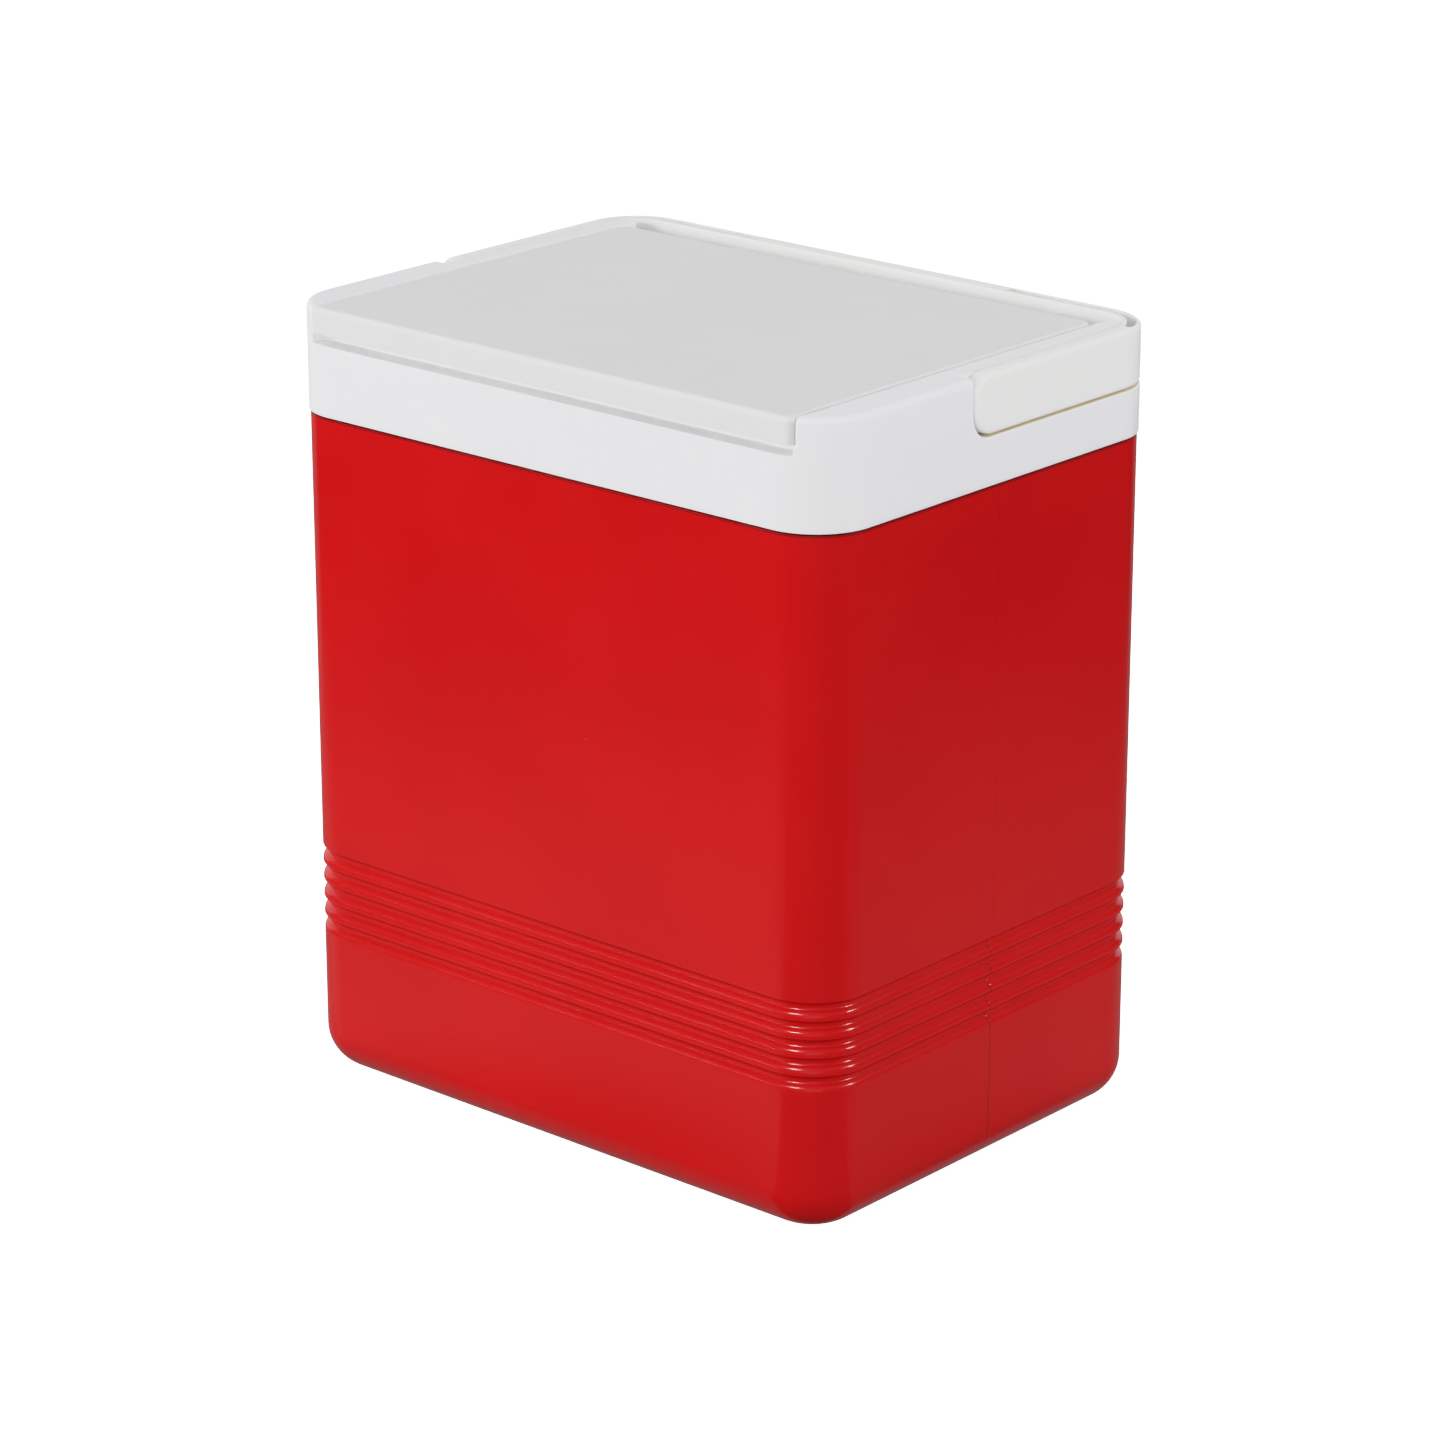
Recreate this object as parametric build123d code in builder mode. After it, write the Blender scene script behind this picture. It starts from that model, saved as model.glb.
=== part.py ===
"""Insulated picnic cooler: a ribbed shell, a white collar, a lift-off lid and a bail handle.

Millimetres. The origin is the centre of the base, +Z is up and the front faces -Y. The
long side runs along X. The lid is on, and the handle lies folded round the back.
"""
import os

from build123d import *

os.makedirs("parts", exist_ok=True)

# Shell
LENGTH = 330.0
DEPTH = 243.0
CORNER_R = 29.0
BASE_R = 21.5
SHELL_TOP = 333.0
SHELL_WALL = 2.2
TONGUE_TOP = 345.0
TONGUE_ROOT = 330.0
TONGUE_WALL = 3.6
FOOT_WIDTH = 24.0
FOOT_RISE = 2.0
FOOT_R = 12.0

# Ribs round the lower part of the shell
RIB_COUNT = 5
RIB_PITCH = 8.9
RIB_TOP = 115.5
GROOVE_HEIGHT = 6.2
GROOVE_DEPTH = 3.0
VALLEY_DROP = 1.55
SLOPE_DEPTH = 1.86
SLOPE_DROP = 4.1
RIB_BACKING = 3.4
BAND_MARGIN = 3.5

# Collar
LIP = 0.7
COLLAR_WALL = 2.5
HEIGHT = 384.5
RIM_R = 3.0
RIM_INNER_X = 146.2
RIM_END_Y = 96.4
RIM_EDGE_R = 1.5
SOFT_R = 0.6
RIM_HOLLOW_INSET = 5.0
SEAT_Z = 371.7
FLANGE = 2.0
FLANGE_GAP = 1.0
MOUTH_GAP = 0.2
GRIP_Z = 367.1
GRIP_BACK_Y = -112.0
GRIP_END_R = 8.0

# Handle and the recess that it lies in
RECESS_FLOOR = 355.6
RECESS_FRONT_Y = -20.5
RECESS_SIDE_X = 157.6
RECESS_BACK_Y = 104.0
RECESS_R = 12.0
ARM_BOTTOM = 356.3
ARM_FRONT_Y = -18.5
ARM_INNER_X = 157.9
ARM_TOP_R = 10.0
ARM_BOTTOM_R = 13.0
BAR_INNER_Y = 112.2
HANDLE_FACE = 0.1
HANDLE_INNER_R = 21.0
HANDLE_EDGE_R = 2.5
SLOT_WALL = 1.9
SLOT_FLOOR = 362.0
SLOT_FROM_X = 76.0
SLOT_FROM_Y = 97.0
SLOT_END_R = 1.8

# Pivot pins
PIVOT_Y = ARM_FRONT_Y + (HEIGHT - ARM_BOTTOM) / 2
PIVOT_Z = (HEIGHT + ARM_BOTTOM) / 2
PIN_R = 5.5
PIN_CLEARANCE = 0.08
PIN_END_X = 162.9
PIN_HEAD_R = 8.5
PIN_HEAD_X = 151.6
PIN_HEAD = 3.2
PIN_CHAMFER = 0.6

# Tub
TUB_X = 141.0
TUB_FRONT_Y = -108.0
TUB_BACK_Y = 91.0
TUB_R = 18.0
TUB_BASE_R = 14.0
TUB_FLOOR = 24.0
LINER_WALL = 2.0

# Lid
LID_X = 145.5
LID_FRONT_Y = -122.0
LID_BACK_Y = 95.2
LID_BOTTOM = 371.9
LID_FRONT_R = 3.5
LID_BACK_R = 8.0
LID_EDGE_R = 2.4
LID_WALL = 2.2
PLUG_BOTTOM = 352.0
PLUG_GAP = 1.2
PLUG_WALL = 2.0
PLUG_BASE_R = 6.0

# How far a cutter stands clear of the surface that it cuts
PROUD = 1.0
# How near an edge lies to the plane that it is picked by
NEAR = 0.1

SIDES = (-1, 1)


def span(low, high):
    """Centre and size of the stretch between two values."""
    return (low + high) / 2, high - low


def box_between(x, y, z, mode=Mode.ADD):
    """Add a box given by its low and high values along X, Y and Z."""
    (cx, dx), (cy, dy), (cz, dz) = span(*x), span(*y), span(*z)
    with Locations((cx, cy, cz)):
        Box(dx, dy, dz, mode=mode)


def rounded_plan(x, y, radius, mode=Mode.ADD):
    """Draw a rectangle with round corners between two X and two Y values."""
    (cx, dx), (cy, dy) = span(*x), span(*y)
    with Locations((cx, cy)):
        RectangleRounded(dx, dy, radius, mode=mode)


def girth_block(inset, low, high, base_r=0.0):
    """The shell's plan, drawn in by an inset, as a solid with a round bottom edge."""
    with BuildPart(mode=Mode.PRIVATE) as block:
        with BuildSketch(Plane.XY.offset(low)):
            RectangleRounded(LENGTH - 2 * inset, DEPTH - 2 * inset, CORNER_R - inset)
        extrude(amount=high - low)
        if base_r:
            fillet(block.faces().sort_by(Axis.Z)[0].edges(), base_r)
    return block.part


def tub_block(grow, low, high, base_r):
    """The tub's plan, grown outwards, as a solid with a round bottom edge."""
    with BuildPart(mode=Mode.PRIVATE) as block:
        with BuildSketch(Plane.XY.offset(low)):
            rounded_plan((-TUB_X - grow, TUB_X + grow), (TUB_FRONT_Y - grow, TUB_BACK_Y + grow),
                         TUB_R + grow)
        extrude(amount=high - low)
        fillet(block.faces().sort_by(Axis.Z)[0].edges(), base_r)
    return block.part


def shell_inside():
    """The space inside the shell: a plain tub, drawn in behind the ribs."""
    band_low = RIB_TOP - (RIB_COUNT - 1) * RIB_PITCH - GROOVE_HEIGHT - BAND_MARGIN
    band_high = RIB_TOP + BAND_MARGIN
    with BuildPart(mode=Mode.PRIVATE) as inside:
        add(girth_block(SHELL_WALL, SHELL_WALL + FOOT_RISE, TONGUE_ROOT, BASE_R - SHELL_WALL))
        add(girth_block(0, band_low, band_high), mode=Mode.SUBTRACT)
        add(girth_block(SHELL_WALL + RIB_BACKING, band_low, band_high))
        add(girth_block(COLLAR_WALL - LIP + TONGUE_WALL, TONGUE_ROOT, TONGUE_TOP))
    return inside.part


def groove_ring(top):
    """One rib groove, as the solid that it removes: a sharp lip above a round valley."""
    half_x, half_y = LENGTH / 2, DEPTH / 2
    with BuildPart(mode=Mode.PRIVATE) as ring:
        with BuildLine() as girth:
            FilletPolyline((0, -half_y), (half_x, -half_y), (half_x, half_y), (0, half_y),
                           radius=CORNER_R)
            mirror(about=Plane.YZ)
        section = Plane(origin=(0, -half_y, 0), x_dir=(0, -1, 0), z_dir=(-1, 0, 0))
        valley = (-GROOVE_DEPTH, top - VALLEY_DROP)
        slope = (-SLOPE_DEPTH, top - SLOPE_DROP)
        foot = (0, top - GROOVE_HEIGHT)
        with BuildSketch(section) as cut:
            with BuildLine():
                Line((0, top), valley)
                ThreePointArc(valley, slope, foot)
                Polyline(foot, (PROUD, top - GROOVE_HEIGHT), (PROUD, top), (0, top))
            make_face()
        sweep(sections=cut.sketch, path=girth.wire())
    return ring.part


def handle_plan(face_in, inner_x, inner_y, inner_r):
    """Draw the bail's plan: between the collar's outline and a smaller rounded one."""
    outer_x = LENGTH / 2 + LIP - face_in
    outer_y = DEPTH / 2 + LIP - face_in
    rounded_plan((-outer_x, outer_x), (-outer_y, outer_y), CORNER_R + LIP - face_in)
    rounded_plan((-inner_x, inner_x), (-inner_y, inner_y), inner_r, mode=Mode.SUBTRACT)


# Red outer shell: ribbed, with a foot ring below and a tongue that the collar hides.
with BuildPart() as body_shell:
    add(girth_block(0, 0, SHELL_TOP, BASE_R))
    add(girth_block(COLLAR_WALL - LIP, TONGUE_ROOT, TONGUE_TOP))
    for rib in range(RIB_COUNT):
        add(groove_ring(RIB_TOP - rib * RIB_PITCH), mode=Mode.SUBTRACT)
    with BuildSketch():
        RectangleRounded(LENGTH - 2 * (BASE_R + FOOT_WIDTH), DEPTH - 2 * (BASE_R + FOOT_WIDTH),
                         FOOT_R)
    extrude(amount=FOOT_RISE, mode=Mode.SUBTRACT)
    add(shell_inside(), mode=Mode.SUBTRACT)
body_shell.part.label = "body_shell"
export_step(body_shell.part, "parts/body_shell.step")

# Foam between the shell and the tub.
with BuildPart() as body_foam:
    add(shell_inside())
    add(tub_block(LINER_WALL, TUB_FLOOR - LINER_WALL, HEIGHT, TUB_BASE_R + LINER_WALL),
        mode=Mode.SUBTRACT)
body_foam.part.label = "body_foam"
export_step(body_foam.part, "parts/body_foam.step")

# Tub that holds the cans and ice, with a flange that hangs on the collar.
with BuildPart() as liner:
    add(tub_block(LINER_WALL, TUB_FLOOR - LINER_WALL, SEAT_Z, TUB_BASE_R + LINER_WALL))
    with BuildSketch(Plane.XY.offset(SEAT_Z - FLANGE)):
        rounded_plan((FLANGE_GAP - RIM_INNER_X, RIM_INNER_X - FLANGE_GAP),
                     (GRIP_BACK_Y, RIM_END_Y - FLANGE_GAP), TUB_R)
    extrude(amount=FLANGE)
    add(tub_block(0, TUB_FLOOR, HEIGHT, TUB_BASE_R), mode=Mode.SUBTRACT)
liner.part.label = "liner"
export_step(liner.part, "parts/liner.step")

# Collar: the white frame round the mouth. Its two side rims stand as high as the lid.
outer_x = LENGTH / 2 + LIP
outer_y = DEPTH / 2 + LIP
skirt_x = outer_x - COLLAR_WALL
bore_x = RECESS_SIDE_X - COLLAR_WALL
rim_wall_x = RIM_INNER_X + COLLAR_WALL
mouth = LINER_WALL + MOUTH_GAP

with BuildPart() as collar:
    with BuildSketch(Plane.XY.offset(SHELL_TOP)):
        RectangleRounded(2 * outer_x, 2 * outer_y, CORNER_R + LIP)
    extrude(amount=HEIGHT - SHELL_TOP)
    fillet(collar.faces().sort_by(Axis.Z)[-1].edges(), RIM_R)

    # Recess for the folded handle, round both sides and the back.
    with BuildSketch(Plane.XY.offset(RECESS_FLOOR)):
        with Locations((0, RECESS_FRONT_Y + outer_y)):
            Rectangle(4 * outer_x, 2 * outer_y)
        rounded_plan((-RECESS_SIDE_X, RECESS_SIDE_X), (-outer_y, RECESS_BACK_Y), RECESS_R,
                     mode=Mode.SUBTRACT)
    extrude(amount=HEIGHT, mode=Mode.SUBTRACT)
    recess_corners = (
        collar.edges()
        .filter_by(Axis.X)
        .filter_by_position(Axis.Y, RECESS_FRONT_Y - NEAR, RECESS_FRONT_Y + NEAR)
        .filter_by_position(Axis.Z, RECESS_FLOOR - NEAR, RECESS_FLOOR + NEAR)
    )
    fillet(recess_corners, RECESS_R)
    rim_ends = (
        collar.edges()
        .filter_by(Plane.XZ)
        .filter_by_position(Axis.Y, RECESS_FRONT_Y - NEAR, RECESS_FRONT_Y + NEAR)
        .filter_by(lambda edge: abs(edge.center().X) > outer_x - RIM_R)
    )
    fillet(rim_ends, SOFT_R)

    # Pocket that the lid drops into, open at the front and low at the back.
    box_between((-RIM_INNER_X, RIM_INNER_X), (-outer_y - PROUD, outer_y),
                (SEAT_Z, HEIGHT + PROUD), mode=Mode.SUBTRACT)
    rim_edges = (
        collar.edges()
        .filter_by(Axis.Y)
        .filter_by_position(Axis.Z, HEIGHT - NEAR, HEIGHT + NEAR)
        .filter_by(lambda edge: abs(edge.center().X) < RIM_INNER_X + NEAR)
    )
    fillet(rim_edges, RIM_EDGE_R)

    # Finger groove under the lid's front lip, and the step that takes the tub's flange.
    with BuildSketch(Plane.XY.offset(GRIP_Z)):
        rounded_plan((-RIM_INNER_X, RIM_INNER_X), (-outer_y - 2 * GRIP_END_R, GRIP_BACK_Y),
                     GRIP_END_R)
    extrude(amount=SEAT_Z - GRIP_Z, mode=Mode.SUBTRACT)
    box_between((-RIM_INNER_X, RIM_INNER_X), (GRIP_BACK_Y, RIM_END_Y),
                (SEAT_Z - FLANGE, SEAT_Z), mode=Mode.SUBTRACT)

    # Hollow underside: a skirt over the shell's tongue, then the space inside the walls.
    with BuildSketch(Plane.XY.offset(SHELL_TOP)):
        RectangleRounded(2 * skirt_x, 2 * (outer_y - COLLAR_WALL), CORNER_R + LIP - COLLAR_WALL)
    extrude(amount=RECESS_FLOOR - COLLAR_WALL - SHELL_TOP, mode=Mode.SUBTRACT)
    with BuildSketch(Plane.XY.offset(SHELL_TOP)):
        RectangleRounded(2 * skirt_x, 2 * (outer_y - COLLAR_WALL), CORNER_R + LIP - COLLAR_WALL)
        with Locations((0, RECESS_FRONT_Y - COLLAR_WALL - outer_y)):
            Rectangle(4 * outer_x, 2 * outer_y, mode=Mode.INTERSECT)
        rounded_plan((-bore_x, bore_x), (-outer_y / 2, RECESS_BACK_Y - COLLAR_WALL),
                     RECESS_R - COLLAR_WALL)
    extrude(amount=GRIP_Z - COLLAR_WALL - SHELL_TOP, mode=Mode.SUBTRACT)

    # The side rims are hollow too, wide ahead of the handle and narrow beside it.
    with BuildSketch(Plane.XY.offset(SHELL_TOP)):
        RectangleRounded(2 * (outer_x - RIM_HOLLOW_INSET), 2 * (outer_y - RIM_HOLLOW_INSET),
                         CORNER_R - RIM_HOLLOW_INSET)
        with Locations((0, RECESS_FRONT_Y - COLLAR_WALL - outer_y)):
            Rectangle(4 * outer_x, 2 * outer_y, mode=Mode.INTERSECT)
        rounded_plan((-bore_x, bore_x), (-outer_y / 2, RECESS_BACK_Y - RECESS_R), RIM_EDGE_R)
        Rectangle(2 * rim_wall_x, 2 * outer_y, mode=Mode.SUBTRACT)
    extrude(amount=HEIGHT - RIM_HOLLOW_INSET - SHELL_TOP, mode=Mode.SUBTRACT)

    # Mouth that the tub hangs through.
    with BuildSketch(Plane.XY.offset(SHELL_TOP)):
        rounded_plan((-TUB_X - mouth, TUB_X + mouth), (TUB_FRONT_Y - mouth, TUB_BACK_Y + mouth),
                     TUB_R + mouth)
    extrude(amount=HEIGHT, mode=Mode.SUBTRACT)

    # Bores for the two pivot pins.
    for side in SIDES:
        with BuildSketch(Plane(origin=(side * (PIN_HEAD_X + PROUD), PIVOT_Y, PIVOT_Z),
                               z_dir=(side, 0, 0))):
            Circle(PIN_R + PIN_CLEARANCE)
        extrude(amount=RECESS_SIDE_X - PIN_HEAD_X, mode=Mode.SUBTRACT)
collar.part.label = "collar"
export_step(collar.part, "parts/collar.step")

# Bail handle: two arms and a crossbar in one piece, cored out at its two back corners.
with BuildPart() as handle:
    with BuildSketch(Plane.XY.offset(ARM_BOTTOM)):
        handle_plan(HANDLE_FACE, ARM_INNER_X, BAR_INNER_Y, HANDLE_INNER_R)
        with Locations((0, ARM_FRONT_Y - outer_y)):
            Rectangle(4 * outer_x, 2 * outer_y, mode=Mode.SUBTRACT)
    extrude(amount=HEIGHT - ARM_BOTTOM)
    front_edges = (
        handle.edges()
        .filter_by(Axis.X)
        .filter_by_position(Axis.Y, ARM_FRONT_Y - NEAR, ARM_FRONT_Y + NEAR)
    )
    fillet(front_edges.group_by(Axis.Z)[-1], ARM_TOP_R)
    front_edges = (
        handle.edges()
        .filter_by(Axis.X)
        .filter_by_position(Axis.Y, ARM_FRONT_Y - NEAR, ARM_FRONT_Y + NEAR)
    )
    fillet(front_edges.group_by(Axis.Z)[0], ARM_BOTTOM_R)
    arm_faces = handle.faces().sort_by(Axis.X)
    outline = arm_faces[0].edges() + arm_faces[-1].edges()
    fillet(outline.filter_by(lambda edge: edge.center().Y < outer_y / 2), HANDLE_EDGE_R)

    # Cored channels, open upwards, round the two back corners.
    with BuildSketch(Plane.XY.offset(SLOT_FLOOR)) as channels:
        handle_plan(HANDLE_FACE + SLOT_WALL, ARM_INNER_X + SLOT_WALL, BAR_INNER_Y + SLOT_WALL,
                    HANDLE_INNER_R + SLOT_WALL)
        with Locations((0, SLOT_FROM_Y - outer_y)):
            Rectangle(4 * outer_x, 2 * outer_y, mode=Mode.SUBTRACT)
        Rectangle(2 * SLOT_FROM_X, 4 * outer_y, mode=Mode.SUBTRACT)
        slot_ends = channels.vertices().group_by(Axis.Y)[0]
        grip_ends = channels.vertices().filter_by_position(
            Axis.X, -SLOT_FROM_X - NEAR, SLOT_FROM_X + NEAR)
        fillet(slot_ends + grip_ends, SLOT_END_R)
    extrude(amount=HEIGHT, mode=Mode.SUBTRACT)

    # Blind holes that the pivot pins are pressed into.
    for side in SIDES:
        with BuildSketch(Plane(origin=(side * PIN_HEAD_X, PIVOT_Y, PIVOT_Z),
                               z_dir=(side, 0, 0))):
            Circle(PIN_R)
        extrude(amount=PIN_END_X - PIN_HEAD_X, mode=Mode.SUBTRACT)
handle.part.label = "handle"
export_step(handle.part, "parts/handle.step")


def pivot_pin(side):
    """A headed pin: its shank runs in the collar's wall and is pressed into the arm."""
    with BuildPart() as pin:
        with BuildSketch(Plane(origin=(side * PIN_HEAD_X, PIVOT_Y, PIVOT_Z),
                               z_dir=(side, 0, 0))):
            Circle(PIN_HEAD_R)
        extrude(amount=PIN_HEAD)
        with BuildSketch(Plane(origin=(side * PIN_HEAD_X, PIVOT_Y, PIVOT_Z),
                               z_dir=(side, 0, 0))):
            Circle(PIN_R)
        extrude(amount=PIN_END_X - PIN_HEAD_X)
        chamfer(pin.edges().sort_by(Axis.X)[-1 if side > 0 else 0], PIN_CHAMFER)
    return pin.part


for side, name in zip(SIDES, ("pivot_pin_left", "pivot_pin_right")):
    pin = pivot_pin(side)
    pin.label = name
    export_step(pin, f"parts/{name}.step")


def lid_plan(inset, low, high):
    """The lid's plan, drawn in by an inset, as a plain solid."""
    with BuildPart(mode=Mode.PRIVATE) as block:
        with BuildSketch(Plane.XY.offset(low)) as plan:
            width = 2 * (LID_X - inset)
            (cy, depth) = span(LID_FRONT_Y + inset, LID_BACK_Y - inset)
            with Locations((0, cy)):
                Rectangle(width, depth)
            fillet(plan.vertices().group_by(Axis.Y)[0], LID_FRONT_R - inset)
            fillet(plan.vertices().group_by(Axis.Y)[-1], LID_BACK_R - inset)
        extrude(amount=high - low)
    return block.part


# Lid: a moulded top, foam, and an underside tray whose plug fits the tub's mouth.
with BuildPart() as lid_top:
    add(lid_plan(0, LID_BOTTOM, HEIGHT))
    fillet(lid_top.faces().sort_by(Axis.Z)[-1].edges(), LID_EDGE_R)
    add(lid_plan(LID_WALL, LID_BOTTOM, HEIGHT - LID_WALL), mode=Mode.SUBTRACT)
lid_top.part.label = "lid_top"
export_step(lid_top.part, "parts/lid_top.step")

with BuildPart() as lid_tray:
    add(lid_plan(LID_WALL, LID_BOTTOM, LID_BOTTOM + PLUG_WALL))
    add(tub_block(-PLUG_GAP, PLUG_BOTTOM, LID_BOTTOM + PLUG_WALL, PLUG_BASE_R))
    add(tub_block(-PLUG_GAP - PLUG_WALL, PLUG_BOTTOM + PLUG_WALL, HEIGHT,
                  PLUG_BASE_R - PLUG_WALL), mode=Mode.SUBTRACT)
lid_tray.part.label = "lid_tray"
export_step(lid_tray.part, "parts/lid_tray.step")

with BuildPart() as lid_foam:
    add(lid_plan(LID_WALL, LID_BOTTOM + PLUG_WALL, HEIGHT - LID_WALL))
    add(tub_block(-PLUG_GAP - PLUG_WALL, PLUG_BOTTOM + PLUG_WALL, LID_BOTTOM + PLUG_WALL,
                  PLUG_BASE_R - PLUG_WALL))
lid_foam.part.label = "lid_foam"
export_step(lid_foam.part, "parts/lid_foam.step")
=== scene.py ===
import math

import bmesh
import bpy
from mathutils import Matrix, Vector


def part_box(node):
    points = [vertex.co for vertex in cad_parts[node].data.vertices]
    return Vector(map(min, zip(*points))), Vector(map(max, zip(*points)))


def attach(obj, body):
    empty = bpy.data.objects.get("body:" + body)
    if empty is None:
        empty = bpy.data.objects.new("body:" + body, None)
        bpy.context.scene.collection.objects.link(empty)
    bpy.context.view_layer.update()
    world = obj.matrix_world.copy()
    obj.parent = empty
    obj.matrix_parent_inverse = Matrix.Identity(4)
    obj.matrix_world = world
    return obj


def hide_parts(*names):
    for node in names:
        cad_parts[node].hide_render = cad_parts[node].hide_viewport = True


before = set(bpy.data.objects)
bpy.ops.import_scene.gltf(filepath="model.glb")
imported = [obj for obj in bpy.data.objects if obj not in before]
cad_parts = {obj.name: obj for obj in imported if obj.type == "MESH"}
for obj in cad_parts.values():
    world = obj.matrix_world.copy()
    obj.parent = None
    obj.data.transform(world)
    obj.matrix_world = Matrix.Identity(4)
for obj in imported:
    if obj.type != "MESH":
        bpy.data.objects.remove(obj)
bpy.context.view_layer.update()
MM = 0.001

# ---------------------------------------------------------------- materials
# Heights and widths in this block are in metres, in the frame's own axes.
GRAIN_SCALE = 2600                      # features per metre
WAVE_SCALE = 11
# Painted shade: narrow gaps get a warm tint where an occlusion test finds walls close by; this is
# how close.
GAP_SHADE_DISTANCE = 0.0022                   # how near a wall has to be to darken a gap
# Painted light: the collar's finger groove, in the shadow of the lid's lip, is coloured lighter
# and less blue.
GROOVE_PAINTED_LIGHT = (0.96, 0.96, 0.97)
GROOVE_HALF_X = 0.146                   # the finger groove in the collar, under the lid's lip
GROOVE_LOW_Z, GROOVE_HIGH_Z = 0.36705, 0.3718
SEAM_COLOUR = (0.30, 0.002, 0.003)      # moulding line down the middle of each short side
SEAM_EDGES = (0.0002, 0.0008)           # full strength inside the first, gone past the second
SEAM_FADE_Z = (0.114, 0.118)            # it shows below the ribs and is faint above them
SEAM_STRENGTH = (0.7, 0.16)
# Painted shade: the red turns dark on the step just under the collar, where the collar shades it.
REVEAL_SHADE_COLOUR = (0.26, 0.002, 0.003)    # the dark step under the collar
REVEAL_SHADE_Z = (0.3309, 0.3313)


def nodes_of(name):
    """A new material with one Principled shader: the material, its tree and the shader."""
    mat = bpy.data.materials.new(name)
    mat.use_nodes = True
    tree = mat.node_tree
    tree.nodes.clear()
    out = tree.nodes.new("ShaderNodeOutputMaterial")
    shader = tree.nodes.new("ShaderNodeBsdfPrincipled")
    tree.links.new(shader.outputs["BSDF"], out.inputs["Surface"])
    return mat, tree, shader


def place_of(tree):
    """The object coordinates."""
    return tree.nodes.new("ShaderNodeTexCoord").outputs["Object"]


def axes_of(tree, place):
    """The X, Y and Z of a vector, each as its own socket."""
    split = tree.nodes.new("ShaderNodeSeparateXYZ")
    tree.links.new(place, split.inputs["Vector"])
    return split.outputs


def noise(tree, scale, detail=3.0, rough=0.5, stretch=(1, 1, 1)):
    """Noise in object coordinates; scale is in features per metre."""
    mapping = tree.nodes.new("ShaderNodeMapping")
    mapping.inputs["Scale"].default_value = stretch
    tex = tree.nodes.new("ShaderNodeTexNoise")
    tex.inputs["Scale"].default_value = scale
    tex.inputs["Detail"].default_value = detail
    tex.inputs["Roughness"].default_value = rough
    tree.links.new(place_of(tree), mapping.inputs["Vector"])
    tree.links.new(mapping.outputs["Vector"], tex.inputs["Vector"])
    return tex.outputs["Fac"]


def ramp(tree, value, low, high, to_low=0.0, to_high=1.0):
    """A smooth step of value between low and high."""
    node = tree.nodes.new("ShaderNodeMapRange")
    node.interpolation_type = "SMOOTHSTEP"
    node.inputs["From Min"].default_value = low
    node.inputs["From Max"].default_value = high
    node.inputs["To Min"].default_value = to_low
    node.inputs["To Max"].default_value = to_high
    tree.links.new(value, node.inputs["Value"])
    return node.outputs["Result"]


def mix_colour(tree, factor, a, b):
    """Colour a where factor is 0 and b where it is 1; each is a tuple or a socket."""
    node = tree.nodes.new("ShaderNodeMix")
    node.data_type = "RGBA"
    tree.links.new(factor, node.inputs["Factor"])
    for socket, value in ((node.inputs[6], a), (node.inputs[7], b)):
        if isinstance(value, tuple):
            socket.default_value = (*value, 1)
        else:
            tree.links.new(value, socket)
    return node.outputs[2]


def maths(tree, operation, a, b=0.0):
    """One Math node; a and b are numbers or sockets."""
    node = tree.nodes.new("ShaderNodeMath")
    node.operation = operation
    for socket, value in ((node.inputs[0], a), (node.inputs[1], b)):
        if isinstance(value, (int, float)):
            socket.default_value = value
        else:
            tree.links.new(value, socket)
    return node.outputs[0]


def bump(tree, height, strength, distance, normal=None):
    """A Bump node, on top of an earlier one when normal is given."""
    node = tree.nodes.new("ShaderNodeBump")
    node.inputs["Strength"].default_value = strength
    node.inputs["Distance"].default_value = distance
    tree.links.new(height, node.inputs["Height"])
    if normal is not None:
        tree.links.new(normal, node.inputs["Normal"])
    return node.outputs["Normal"]


def edge_wear(tree):
    """Patchy wear along the convex edges."""
    geometry = tree.nodes.new("ShaderNodeNewGeometry")
    edge = ramp(tree, geometry.outputs["Pointiness"], 0.53, 0.62)
    patchy = ramp(tree, noise(tree, 160, 4), 0.45, 0.7)
    return maths(tree, "MULTIPLY", maths(tree, "MULTIPLY", edge, patchy), 0.35)


def in_groove(tree):
    """1 inside the collar's finger groove, 0 elsewhere."""
    axes = axes_of(tree, place_of(tree))
    across = maths(tree, "LESS_THAN", maths(tree, "ABSOLUTE", axes["X"]), GROOVE_HALF_X)
    above = maths(tree, "GREATER_THAN", axes["Z"], GROOVE_LOW_Z)
    under = maths(tree, "LESS_THAN", axes["Z"], GROOVE_HIGH_Z)
    return maths(tree, "MULTIPLY", across, maths(tree, "MULTIPLY", above, under))


def openness(tree):
    """0 deep in narrow gaps, 1 in the open; it places the painted warm shade."""
    hollow = tree.nodes.new("ShaderNodeAmbientOcclusion")
    hollow.samples = 6
    hollow.inputs["Distance"].default_value = GAP_SHADE_DISTANCE
    return ramp(tree, hollow.outputs["AO"], 0.1, 0.7)


def seam_and_reveal_shade(tree, colour):
    """The shell's colour with its moulding line and the painted shade under the collar on it, and
    the moulding line's own mask.
    """
    axes = axes_of(tree, place_of(tree))
    line = ramp(tree, maths(tree, "ABSOLUTE", axes["Y"]), *SEAM_EDGES, 1.0, 0.0)
    strength = ramp(tree, axes["Z"], *SEAM_FADE_Z, *SEAM_STRENGTH)
    colour = mix_colour(tree, maths(tree, "MULTIPLY", line, strength), colour, SEAM_COLOUR)
    # Painted shade on the step under the collar.
    colour = mix_colour(tree, ramp(tree, axes["Z"], *REVEAL_SHADE_Z), colour, REVEAL_SHADE_COLOUR)
    return colour, line


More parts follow.
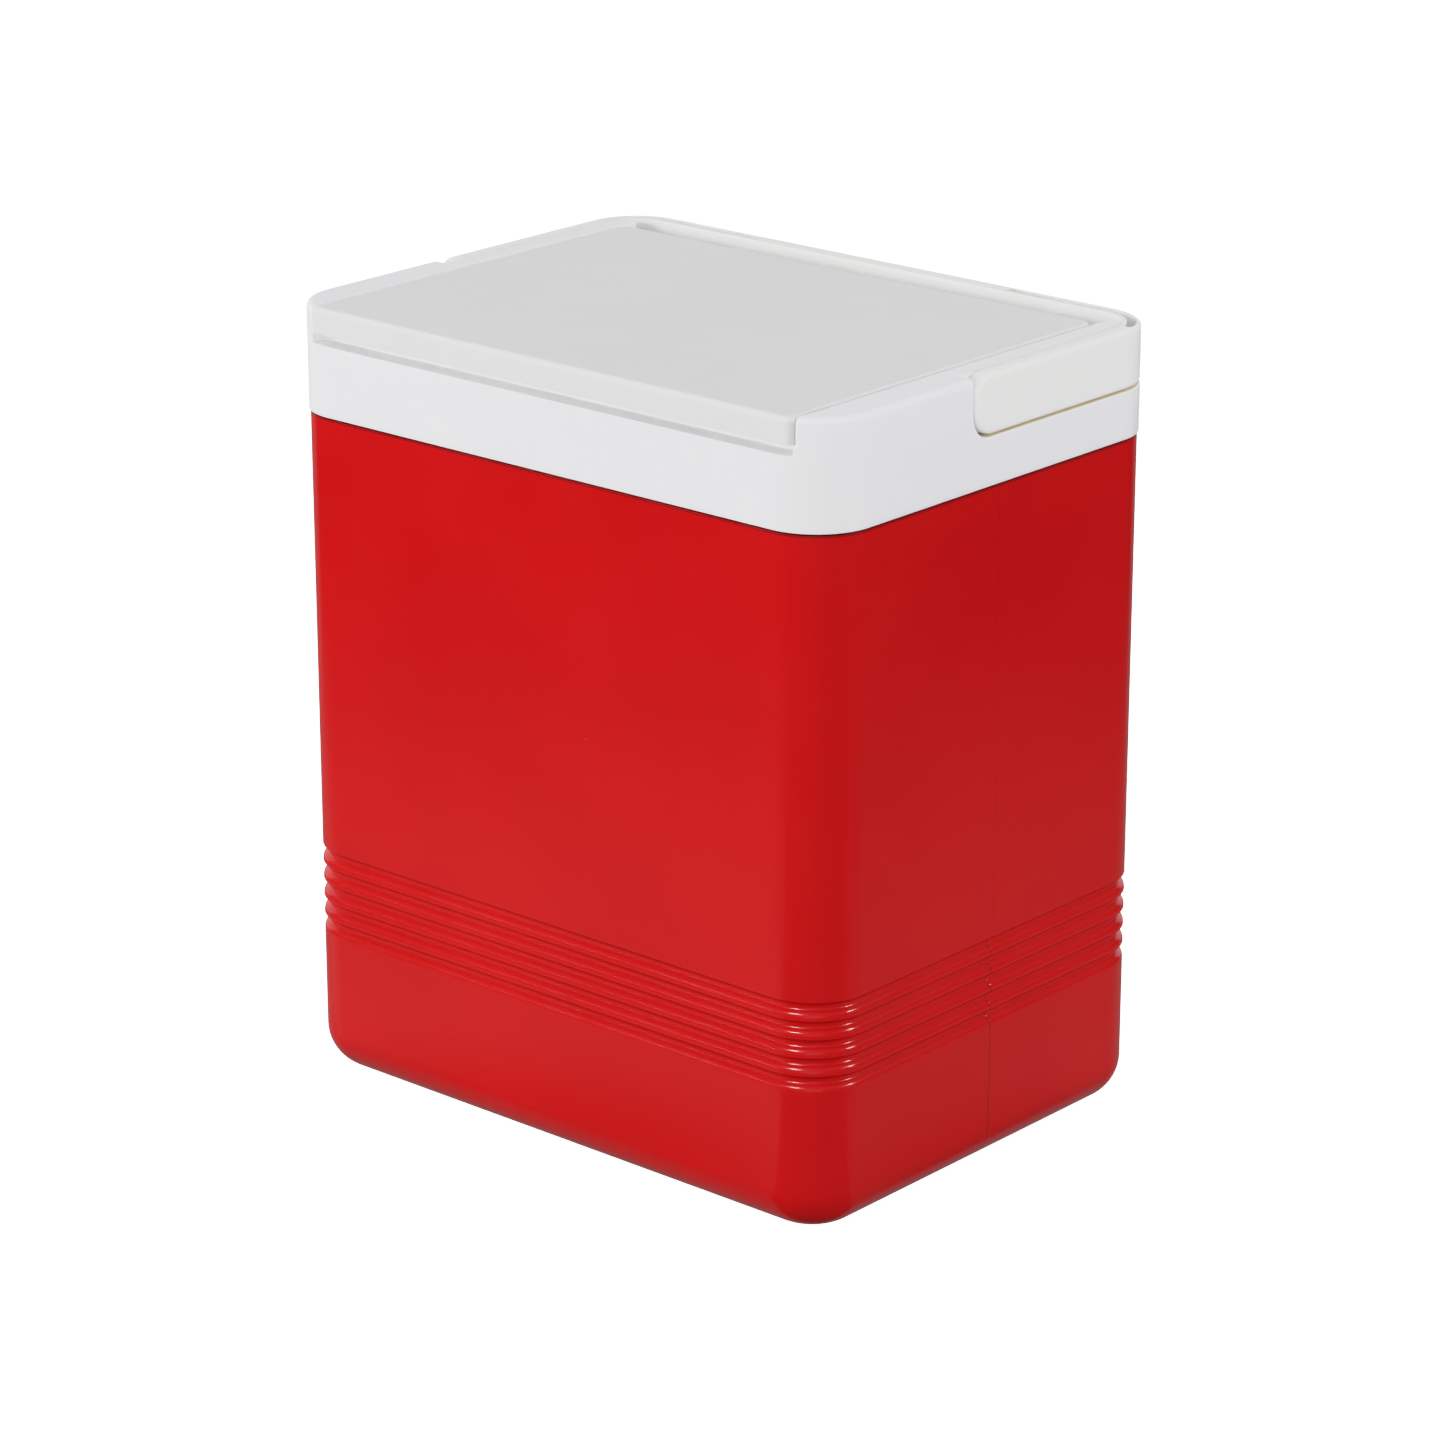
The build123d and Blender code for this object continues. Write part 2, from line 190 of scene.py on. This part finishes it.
def plastic(name, tone, deep, worn, rough=(0.36, 0.44), specular=0.5, scatter=None,
            gap_shade=None, groove=False, seam_and_shade=False):
    """Moulded plastic: slow colour drift, worn edges, scuffs, fine grain, slight waviness.

    tone and deep are the two colours it drifts between; the last three arguments give painted warm
    shade in narrow gaps, painted light in the collar's finger groove, and the shell's moulding
    line with painted shade on the step under the collar.
    """
    mat, tree, shader = nodes_of(name)
    drift = ramp(tree, noise(tree, 9, 2), 0.35, 0.65)
    colour = mix_colour(tree, drift, tone, deep)
    colour = mix_colour(tree, edge_wear(tree), colour, worn)
    # Painted light in the collar's finger groove, which the lid's lip shades.
    if groove:
        colour = mix_colour(tree, in_groove(tree), colour, GROOVE_PAINTED_LIGHT)
    # Painted warm shade in narrow gaps.
    if gap_shade:
        colour = mix_colour(tree, openness(tree), gap_shade, colour)

    scuff = ramp(tree, noise(tree, 60, 5, 0.7, (1, 1, 9)), 0.66, 0.76)
    base = ramp(tree, noise(tree, 45, 4), 0.3, 0.7, *rough)
    shader.inputs["Roughness"].default_value = rough[0]     # for an export with nothing baked
    tree.links.new(maths(tree, "ADD", base, maths(tree, "MULTIPLY", scuff, 0.1)),
                   shader.inputs["Roughness"])

    normal = bump(tree, noise(tree, WAVE_SCALE, 1), 0.10, 0.004)
    # The moulding line, and painted shade on the step under the collar.
    if seam_and_shade:
        colour, line = seam_and_reveal_shade(tree, colour)
        normal = bump(tree, line, 0.35, -0.0003, normal)
    normal = bump(tree, noise(tree, GRAIN_SCALE, 2), 0.10, 0.00006, normal)

    tree.links.new(colour, shader.inputs["Base Color"])
    tree.links.new(normal, shader.inputs["Normal"])
    shader.inputs["Specular IOR Level"].default_value = specular
    if scatter:
        shader.inputs["Subsurface Weight"].default_value = 0.5
        shader.inputs["Subsurface Radius"].default_value = scatter
        shader.inputs["Subsurface Scale"].default_value = 1.0
    return mat


def foam_material():
    """Poured foam: pale yellow, matt, with small cells."""
    mat, tree, shader = nodes_of("foam")
    cells = tree.nodes.new("ShaderNodeTexVoronoi")
    cells.inputs["Scale"].default_value = 700
    tree.links.new(place_of(tree), cells.inputs["Vector"])
    drift = ramp(tree, noise(tree, 30), 0.3, 0.7)
    tree.links.new(mix_colour(tree, drift, (0.78, 0.66, 0.38), (0.70, 0.56, 0.28)),
                   shader.inputs["Base Color"])
    tree.links.new(ramp(tree, noise(tree, 90), 0.3, 0.7, 0.8, 0.95), shader.inputs["Roughness"])
    tree.links.new(bump(tree, cells.outputs["Distance"], 0.5, 0.0004), shader.inputs["Normal"])
    return mat


# The shell gets its moulding line and painted shade on the step under the collar.
RED = plastic("shell_red", tone=(0.54, 0.005, 0.006), deep=(0.51, 0.004, 0.005),
              worn=(0.62, 0.02, 0.02), rough=(0.17, 0.21), specular=0.42, seam_and_shade=True)
# The collar gets painted warm shade in its narrow gaps and painted light in its finger groove.
COLLAR_WHITE = plastic("collar_white", tone=(0.87, 0.867, 0.93), deep=(0.85, 0.847, 0.91),
                       worn=(0.90, 0.90, 0.94), specular=0.3,
                       scatter=(0.0035, 0.0035, 0.0040), gap_shade=(0.92, 0.80, 0.56), groove=True)
LID_WHITE = plastic("lid_white", tone=(0.74, 0.74, 0.755), deep=(0.72, 0.72, 0.735),
                    worn=(0.82, 0.82, 0.82), rough=(0.30, 0.38),
                    scatter=(0.0035, 0.0035, 0.0035))
# The handle gets painted warm shade in its narrow gaps.
HANDLE_WHITE = plastic("handle_white", tone=(0.92, 0.90, 0.89), deep=(0.90, 0.88, 0.86),
                       worn=(0.93, 0.92, 0.91), specular=0.3,
                       scatter=(0.0050, 0.0038, 0.0022), gap_shade=(0.96, 0.80, 0.50))
LINER_WHITE = plastic("liner_white", tone=(0.80, 0.80, 0.81), deep=(0.77, 0.77, 0.78),
                      worn=(0.84, 0.84, 0.84), rough=(0.34, 0.44), specular=0.4)
PIN_WHITE = plastic("pin_white", tone=(0.76, 0.76, 0.74), deep=(0.72, 0.72, 0.70),
                    worn=(0.8, 0.8, 0.78), rough=(0.35, 0.45), specular=0.4)
FOAM = foam_material()

FINISH = {"collar": COLLAR_WHITE, "handle": HANDLE_WHITE, "liner": LINER_WHITE,
          "lid_top": LID_WHITE, "lid_tray": LINER_WHITE, "lid_foam": FOAM, "body_foam": FOAM,
          "pivot_pin_left": PIN_WHITE, "pivot_pin_right": PIN_WHITE}
for node, mat in FINISH.items():
    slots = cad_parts[node].data.materials
    if slots:
        for i in range(len(slots)):
            slots[i] = mat
    else:
        slots.append(mat)


# ---------------------------------------------------------------- the ribbed shell
# Profile points are (inset, z) in millimetres: how far in from the wall's face, and how high.
CORNER_R = 29.0                         # corners, seen from above
CORNER_STEPS = 24
BASE_R = 21.5                           # rounding between the walls and the underside
RIB_PITCH = 8.9
TOP_LIP_Z = 115.4
LIPS = [TOP_LIP_Z - RIB_PITCH * i for i in range(5)]


def girth(x, y, r, inset):
    """Points round a rounded rectangle of half sizes x and y, drawn in by inset."""
    x, y, r = x - inset, y - inset, max(r - inset, 0.5)
    ring = []
    for cx, cy, start in ((x - r, -y + r, -90), (x - r, y - r, 0), (-x + r, y - r, 90),
                          (-x + r, -y + r, 180)):
        for i in range(CORNER_STEPS + 1):
            a = math.radians(start + 90 * i / CORNER_STEPS)
            ring.append((cx + r * math.cos(a), cy + r * math.sin(a)))
    return ring


def arc(cx, cz, r, a0, a1, steps):
    """Profile points on an arc, given by its centre, radius and two angles."""
    angles = [math.radians(a0 + (a1 - a0) * i / steps) for i in range(steps + 1)]
    return [(cx - r * math.cos(a), cz + r * math.sin(a)) for a in angles]


def spline(points, steps):
    """A smooth line through the points (Catmull-Rom)."""
    out = []
    for i in range(len(points) - 1):
        p0 = points[max(i - 1, 0)]
        p1, p2 = points[i], points[i + 1]
        p3 = points[min(i + 2, len(points) - 1)]
        for k in range(steps):
            t = k / steps
            out.append(tuple(0.5 * ((2 * b) + (c - a) * t + (2 * a - 5 * b + 4 * c - d) * t * t
                                    + (3 * b - a - 3 * c + d) * t ** 3)
                             for a, b, c, d in zip(p0, p1, p2, p3)))
    out.append(points[-1])
    return out


def rib(lip):
    """One valley, upwards from the crest under it to the sharp lip over it."""
    curve = [(0.0, lip - 8.6), (0.03, lip - 7.9), (0.12, lip - 7.2), (0.32, lip - 6.5),
             (0.68, lip - 5.85), (1.2, lip - 5.3), (1.8, lip - 4.8), (2.3, lip - 4.35),
             (2.62, lip - 3.9), (2.75, lip - 3.4), (2.65, lip - 2.6), (2.35, lip - 1.8),
             (1.85, lip - 1.15), (1.15, lip - 0.6), (0.45, lip - 0.22)]
    return spline(curve, 3) + [(0.08, lip - 0.04), (0.0, lip + 0.15)]


def shell_profile():
    """The whole section of the shell, up its outside and down its inside."""
    foot = [(46.0, 2.0), (45.5, 2.0), (45.0, 0.0)]
    base = arc(BASE_R, BASE_R, BASE_R, -90, 0, 14)
    wall_below = [(0.0, 50.0), (0.0, 70.0)]
    ribs = [point for lip in reversed(LIPS) for point in rib(lip)]
    # Close pairs of rows at both ends keep the flat wall's shading flat.
    wall_above = [(0.0, 116.1), (0.0, 125.0), (0.0, 140.0), (0.0, 220.0), (0.0, 300.0),
                  (0.0, 331.2), (0.0, 331.7)]
    reveal = [(0.12, 332.0), (0.4, 332.1), (2.1, 332.0), (2.1, 345.0)]
    inside = [(5.4, 345.0), (5.4, 335.0), (2.2, 328.0), (2.2, 130.0), (5.6, 118.0), (5.6, 70.0),
              (2.2, 60.0), (2.2, 24.0), (8.0, 10.0), (22.0, 4.2), (45.5, 4.2)]
    return foot + base + wall_below + ribs + wall_above + reveal + inside


def loft(name, rows, x, y, r):
    """A closed skin through the profile rows swept round the girth, ends capped."""
    mesh = bmesh.new()
    rings = [[mesh.verts.new((px * MM, py * MM, z * MM)) for px, py in girth(x, y, r, inset)]
             for inset, z in rows]
    count = len(rings[0])
    for lower, upper in zip(rings, rings[1:]):
        for i in range(count):
            j = (i + 1) % count
            mesh.faces.new((lower[i], lower[j], upper[j], upper[i]))
    mesh.faces.new(list(reversed(rings[0])))
    mesh.faces.new(rings[-1])
    bmesh.ops.recalc_face_normals(mesh, faces=mesh.faces)
    data = bpy.data.meshes.new(name)
    mesh.to_mesh(data)
    mesh.free()
    obj = bpy.data.objects.new(name, data)
    bpy.context.scene.collection.objects.link(obj)
    return obj


def smooth(obj, angle):
    """Smooth shading, with edges sharper than the angle (degrees) kept crisp."""
    for p in obj.data.polygons:
        p.use_smooth = True
    obj.data.set_sharp_from_angle(angle=math.radians(angle))


low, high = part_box("body_shell")
shell = loft("shell", shell_profile(), high.x / MM, high.y / MM, CORNER_R)
smooth(shell, 40)
shell.data.materials.append(RED)
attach(shell, "base")
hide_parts("body_shell")


# ---------------------------------------------------------------- picture and world
scene = bpy.context.scene
scene.view_settings.view_transform = "Standard"

# A soft shoulder, as a studio camera has: white plastic keeps its shape, red stays deep.
TONE_TOP = 2.0
TONE_POINTS = ((0.5, 0.5), (0.77, 0.715), (1.0, 0.785), (1.4, 0.92))
scene.view_settings.use_curve_mapping = True
tone = scene.view_settings.curve_mapping
tone.clip_max_x = TONE_TOP
curve_points = tone.curves[3].points
curve_points[0].location = (0, 0)
curve_points[1].location = (TONE_TOP, 1.0)
for x, y in TONE_POINTS:
    curve_points.new(x, y)
for p in curve_points:
    p.handle_type = "AUTO_CLAMPED"
tone.update()


def grey(v):
    return (v, v, v)


GROUND_GREY, HORIZON_GREY, ZENITH_GREY = grey(0.20), grey(0.85), grey(0.59)
world = bpy.data.worlds.new("studio")
world.use_nodes = True
tree = world.node_tree
direction = tree.nodes.new("ShaderNodeTexCoord").outputs["Generated"]
height = axes_of(tree, direction)["Z"]
upper = mix_colour(tree, ramp(tree, height, 0.15, 0.75), HORIZON_GREY, ZENITH_GREY)
sky = tree.nodes["Background"]
tree.links.new(mix_colour(tree, ramp(tree, height, -0.25, 0.08), GROUND_GREY, upper),
               sky.inputs["Color"])
sky.inputs["Strength"].default_value = 1.0
scene.world = world


# ---------------------------------------------------------------- lights
def area(name, location, target, size, power):
    """A rectangular light at location, turned to the target."""
    light = bpy.data.lights.new(name, "AREA")
    light.shape = "RECTANGLE"
    light.size, light.size_y = size
    light.energy = power
    obj = bpy.data.objects.new(name, light)
    scene.collection.objects.link(obj)
    obj.location = location
    aim = Vector(target) - Vector(location)
    obj.rotation_euler = aim.to_track_quat("-Z", "Y").to_euler()
    return obj


# Soft lamps light the plastic and leave no reflection; the glints are seen only as reflections.
BODY_CENTRE, LOW_CENTRE = (0, 0, 0.2), (0.1, -0.1, 0.1)
LAMPS = (("key", (-1.5, -2.3, 0.85), (0.9, 0.9), 43),
         ("side", (2.6, 0.9, 1.0), (0.8, 0.8), 20),
         ("fill", (1.8, -2.1, 0.8), (1.5, 1.5), 26),
         ("left", (-2.5, -0.6, 0.9), (0.9, 0.9), 15))
GLINTS = (("glint_front", (0.15, -2.35, 2.45), (0.75, 0.25), 66),
          ("glint_side", (2.25, 1.05, 1.75), (0.5, 0.25), 28))
for name, location, size, power in LAMPS:
    area(name, location, BODY_CENTRE, size, power).visible_glossy = False
for name, location, size, power in GLINTS:
    area(name, location, LOW_CENTRE, size, power).visible_diffuse = False


# ---------------------------------------------------------------- floor
# The camera sees the floor; the object neither reflects it nor takes light from it.
FLOOR_HALF = 30.0
FLOOR_GLOW = 1.7


def sheet(name, points, faces):
    """An object from bare points and faces, in the scene."""
    mesh = bpy.data.meshes.new(name)
    mesh.from_pydata(points, [], faces)
    obj = bpy.data.objects.new(name, mesh)
    scene.collection.objects.link(obj)
    return obj


floor = sheet("floor", [(-FLOOR_HALF, -FLOOR_HALF, 0), (FLOOR_HALF, -FLOOR_HALF, 0),
                        (FLOOR_HALF, FLOOR_HALF, 0), (-FLOOR_HALF, FLOOR_HALF, 0)],
              [(0, 1, 2, 3)])
mat, tree, shader = nodes_of("floor")
tree.links.new(mix_colour(tree, ramp(tree, noise(tree, 1.5), 0.3, 0.7), grey(0.86), grey(0.84)),
               shader.inputs["Base Color"])
shader.inputs["Roughness"].default_value = 0.9
shader.inputs["Emission Color"].default_value = (1, 1, 1, 1)
shader.inputs["Emission Strength"].default_value = FLOOR_GLOW
floor.data.materials.append(mat)
floor.visible_diffuse = False
floor.visible_glossy = False


# ---------------------------------------------------------------- cards for the reflections
def card(name, points, faces, colour):
    """A glowing surface that only reflections see; colour(tree, place) gives its glow."""
    obj = sheet(name, points, faces)
    mat, tree, shader = nodes_of(name)
    shader.inputs["Base Color"].default_value = (0, 0, 0, 1)
    shader.inputs["Specular IOR Level"].default_value = 0.0
    shader.inputs["Emission Strength"].default_value = 1.0
    tree.links.new(colour(tree, place_of(tree)), shader.inputs["Emission Color"])
    obj.data.materials.append(mat)
    obj.visible_camera = False
    obj.visible_diffuse = False
    obj.visible_shadow = False


def table_glow(level):
    """The table's sheen: faint at the object's foot as a painted shadow, full just outside it,
    gone far off.
    """
    def colour(tree, place):
        reach = tree.nodes.new("ShaderNodeVectorMath")
        reach.operation = "LENGTH"
        tree.links.new(place, reach.inputs[0])
        away = reach.outputs["Value"]
        outer = mix_colour(tree, ramp(tree, away, 0.2, 1.1), grey(level), grey(0.02))
        return mix_colour(tree, ramp(tree, away, 0.15, 0.25), grey(0.3 * level), outer)
    return colour


def room_glow(tree, place):
    """The dim room behind the lights, a little lighter overhead."""
    return mix_colour(tree, ramp(tree, axes_of(tree, place)["Z"], 2.4, 4.2),
                      grey(0.01), grey(0.14))


def back_glow(tree, place):
    """A bright, nearly even panel."""
    return mix_colour(tree, noise(tree, 1), grey(2.3), grey(2.1))


LEVEL = 0.0005                          # the table cards lie this far above the floor
REACH = 2
NEAR_FRONT, FAR_FRONT = (0.12, -0.135, LEVEL), (-0.24, -REACH, LEVEL)
NEAR_SIDE, FAR_SIDE = (0.165, -0.088, LEVEL), (REACH, 0.2, LEVEL)
card("sheen_front",
     [NEAR_FRONT, (-REACH, -0.135, LEVEL), (-REACH, -REACH, LEVEL), FAR_FRONT],
     [(0, 1, 2, 3)], table_glow(0.36))
card("sheen_side", [NEAR_SIDE, FAR_SIDE, (REACH, REACH, LEVEL), (0.165, REACH, LEVEL)],
     [(0, 1, 2, 3)], table_glow(0.23))
card("sheen_corner", [NEAR_FRONT, FAR_FRONT, (REACH, -REACH, LEVEL), FAR_SIDE, NEAR_SIDE],
     [(0, 1, 2, 3, 4)], table_glow(0.10))

# The room is part of a dome, in degrees round and up.
ROOM_R = 7.0
AZIMUTHS = range(-172, 90, 6)
HEIGHTS = range(-1, 72, 6)
dome = [(ROOM_R * math.cos(math.radians(h)) * math.cos(math.radians(a)),
         ROOM_R * math.cos(math.radians(h)) * math.sin(math.radians(a)),
         ROOM_R * math.sin(math.radians(h))) for a in AZIMUTHS for h in HEIGHTS]
step = len(HEIGHTS)
dome_faces = [(i * step + k, i * step + k + 1, (i + 1) * step + k + 1, (i + 1) * step + k)
              for i in range(len(AZIMUTHS) - 1) for k in range(step - 1)]
card("room", dome, dome_faces, room_glow)
card("back_card", [(-0.9, 1.8, 1.3), (0.2, 1.8, 1.3), (0.2, 1.3, 2.3), (-0.9, 1.3, 2.3)],
     [(0, 1, 2, 3)], back_glow)


# ---------------------------------------------------------------- camera
# Fitted to the body's edges in the photograph.
CAMERA_PLACE = (1.4594, -1.6700, 0.9521)
CAMERA_TARGET = (0.0012, 0, 0.1824)
camera_data = bpy.data.cameras.new("camera")
camera_data.sensor_width = 36
camera_data.lens = 123.02
camera_data.clip_end = 100
camera = bpy.data.objects.new("camera", camera_data)
scene.collection.objects.link(camera)
camera.location = CAMERA_PLACE
sight = Vector(CAMERA_TARGET) - Vector(CAMERA_PLACE)
camera.rotation_euler = sight.to_track_quat("-Z", "Y").to_euler()
scene.camera = camera
